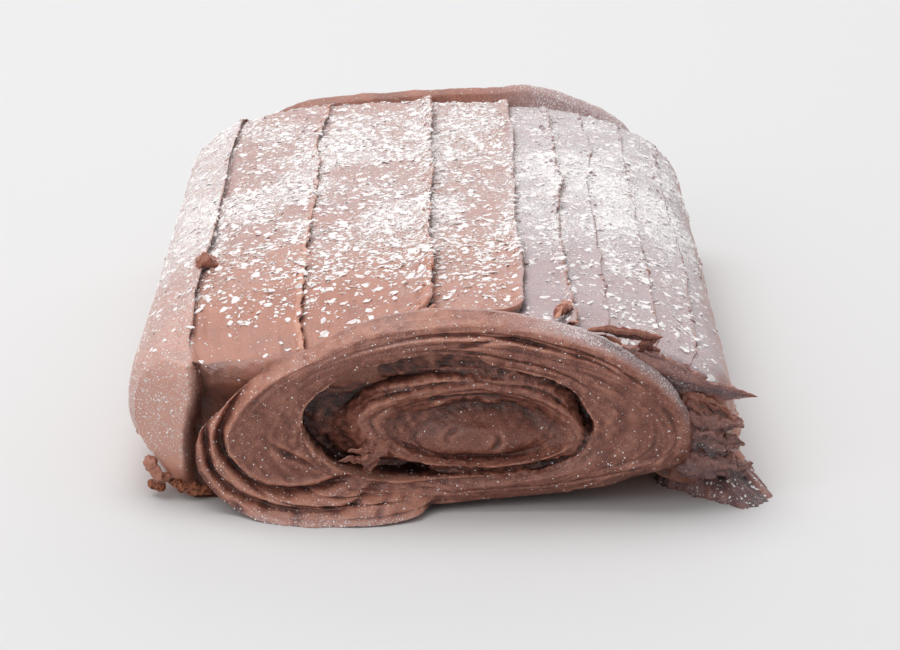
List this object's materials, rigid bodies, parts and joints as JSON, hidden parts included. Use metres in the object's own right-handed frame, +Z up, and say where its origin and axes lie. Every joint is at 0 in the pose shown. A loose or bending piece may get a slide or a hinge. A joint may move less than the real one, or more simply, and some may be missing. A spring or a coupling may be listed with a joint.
{
  "type": "yule log cake",
  "caption": "Low oval roll cake under lengthwise strokes of chocolate frosting, with a spread frosting swirl on each end and a dusting of sugar",
  "frame": {"origin": "centre of the cake's bounding box, on the plane that it rests on", "axes": "+Y runs along the log from the front swirl to the back swirl, +X to the right as seen from the front, +Z up"},
  "size_m": [0.157, 0.2654, 0.0532],
  "materials": {
    "roll_frosting": "satin chocolate frosting with knife strokes",
    "swirl_frosting": "satin chocolate frosting, spread in a spiral",
    "icing_sugar": "matt white powder and small clumps",
    "cake_crumb": "rough dark crumb"
  },
  "bodies": {
    "root": {"frosted_roll": "roll_frosting", "front_swirl": "swirl_frosting", "back_swirl": "swirl_frosting"}
  },
  "joints": []
}
